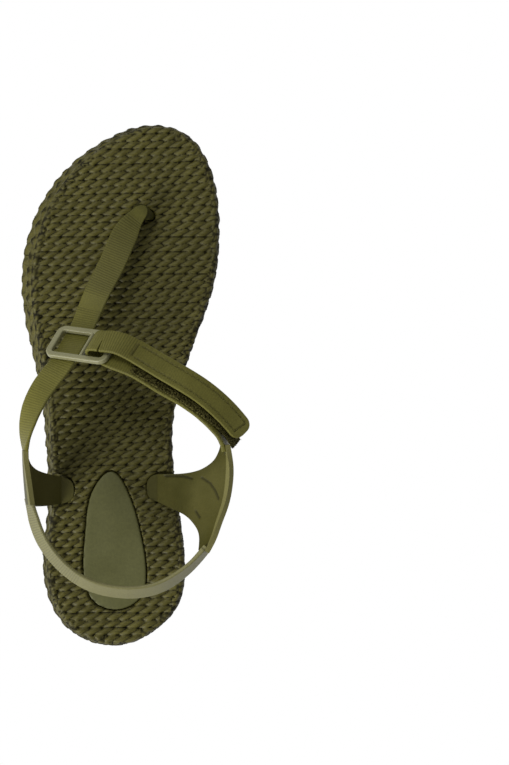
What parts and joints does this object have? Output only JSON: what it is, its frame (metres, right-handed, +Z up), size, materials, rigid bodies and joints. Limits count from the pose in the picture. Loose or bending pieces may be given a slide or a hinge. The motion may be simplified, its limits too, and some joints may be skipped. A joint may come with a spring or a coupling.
{
  "type": "strappy sandal",
  "caption": "Left-foot sandal with a rope-textured sole, toe-post strap, buckle, hook-and-loop instep flap and a heel strap between two moulded side wings.",
  "frame": {"origin": "on the ground under the centre of the object's box", "axes": "+X to the medial (big toe) side, +Y to the toe, +Z up"},
  "size_m": [0.1122, 0.2554, 0.0672],
  "materials": {
    "rubber_outsole": "matt moulded rubber, olive",
    "rope_footbed": "matt moulded foam rubber with a rope relief, olive",
    "insert": "smooth matt rubber, olive",
    "wing_rubber": "smooth moulded rubber, olive",
    "ribbed_strap": "finely ribbed moulded rubber strap, olive",
    "buckle_plastic": "satin moulded plastic, light olive",
    "loop_pile": "fuzzy loop pile, dark olive",
    "hook_pile": "stiff hook tape, dark olive",
    "thread": "twisted polyester thread, olive"
  },
  "bodies": {
    "root": {"outsole": "rubber_outsole", "footbed": "rope_footbed", "heel_insert": "insert", "medial_wing": "wing_rubber", "lateral_wing": "wing_rubber", "front_strap": "ribbed_strap", "buckle_frame": "buckle_plastic", "instep_strap": "ribbed_strap", "loop_tape": "loop_pile", "loop_stitching": "thread"},
    "flap": {"instep_flap": "ribbed_strap", "hook_tape": "hook_pile", "flap_stitching": "thread", "bar_tack": "thread"},
    "heel_loop": {"heel_strap": "ribbed_strap"}
  },
  "joints": [
    {"name": "flap_peel", "type": "hinge", "parent": "root", "child": "flap", "pos_m": [-0.01579, 0.01753, 0.05323], "axis": [-0.3911, -0.7232, 0.5692], "range_deg": [0, 105]},
    {"name": "heel_swing", "type": "hinge", "parent": "root", "child": "heel_loop", "pos_m": [-0.00895, -0.075, 0.058], "axis": [0.9635, -0.2677, 0], "range_deg": [-30, 35]}
  ]
}
